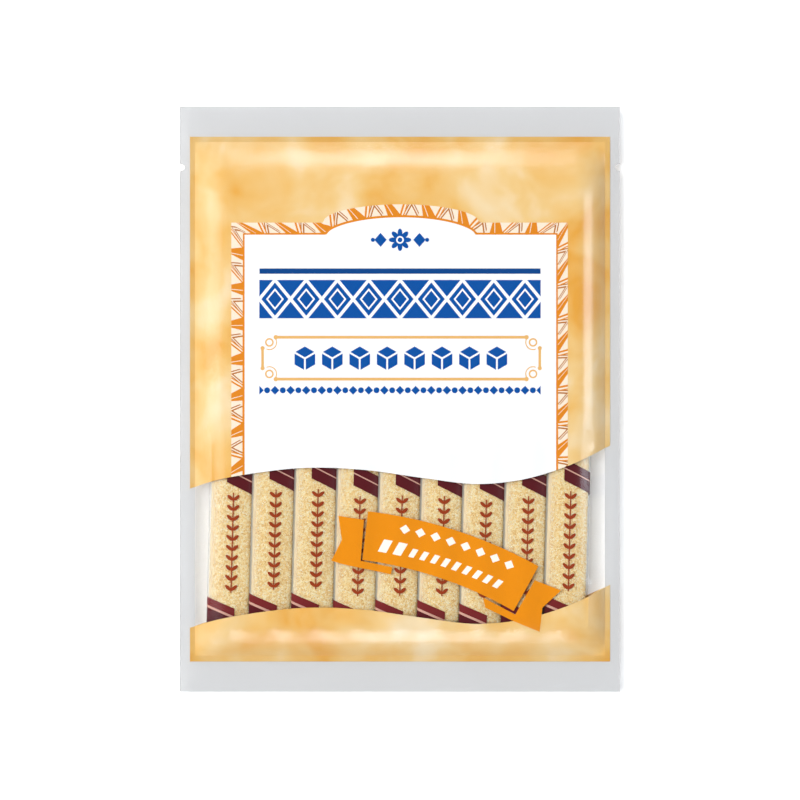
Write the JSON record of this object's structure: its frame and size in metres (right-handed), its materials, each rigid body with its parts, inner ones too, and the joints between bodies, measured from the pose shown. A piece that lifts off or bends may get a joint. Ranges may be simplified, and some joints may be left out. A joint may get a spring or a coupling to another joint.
{
  "type": "pack of brown sugar sticks",
  "caption": "Flat clear film bag, sealed on all four edges, printed in two fields with a wave-shaped window that shows a row of slim brown sugar sticks.",
  "frame": {"origin": "on the surface that the pack lies on, under the middle of the pack", "axes": "+X to the right across the printed front, +Y towards the pack's top edge, +Z out of the printed front"},
  "size_m": [0.15, 0.1994, 0.0102],
  "materials": {
    "printed_film": "glossy plastic film printed in cloudy cream and light orange",
    "clear_film": "clear glossy plastic film",
    "stick_sleeve": "clear glossy plastic sleeve with dark maroon bands",
    "brown_sugar": "cream-yellow sugar crystals"
  },
  "bodies": {
    "root": {"bag": "printed_film"}
  },
  "joints": []
}
